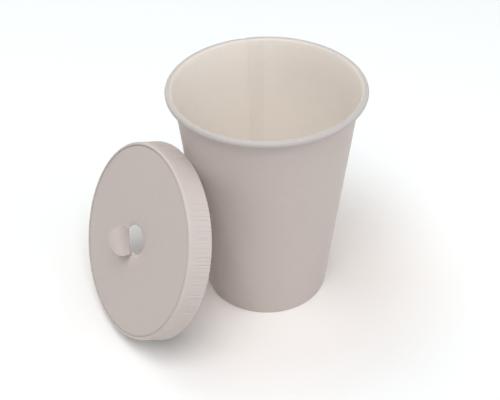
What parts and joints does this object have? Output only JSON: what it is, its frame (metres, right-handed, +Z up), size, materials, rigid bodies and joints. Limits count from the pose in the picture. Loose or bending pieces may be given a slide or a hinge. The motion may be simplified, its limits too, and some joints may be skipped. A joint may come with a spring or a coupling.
{
  "type": "paper coffee cup",
  "caption": "Tapered single-wall paper coffee cup with a rolled rim and a lapped side seam, and its round paper lid with a folded-back sip flap leaning on it.",
  "frame": {"origin": "centre of the cup's foot, on the plane of the floor", "axes": "+Z up along the cup's axis, +Y towards the back, where the side seam is, and -X towards the leaning lid"},
  "size_m": [0.134, 0.1144, 0.112],
  "materials": {
    "wall_board": "matte",
    "base_board": "matte",
    "lid_paper": "matte"
  },
  "bodies": {
    "root": {"cup_sidewall": "wall_board", "cup_base": "base_board", "lid": "lid_paper"}
  },
  "joints": []
}
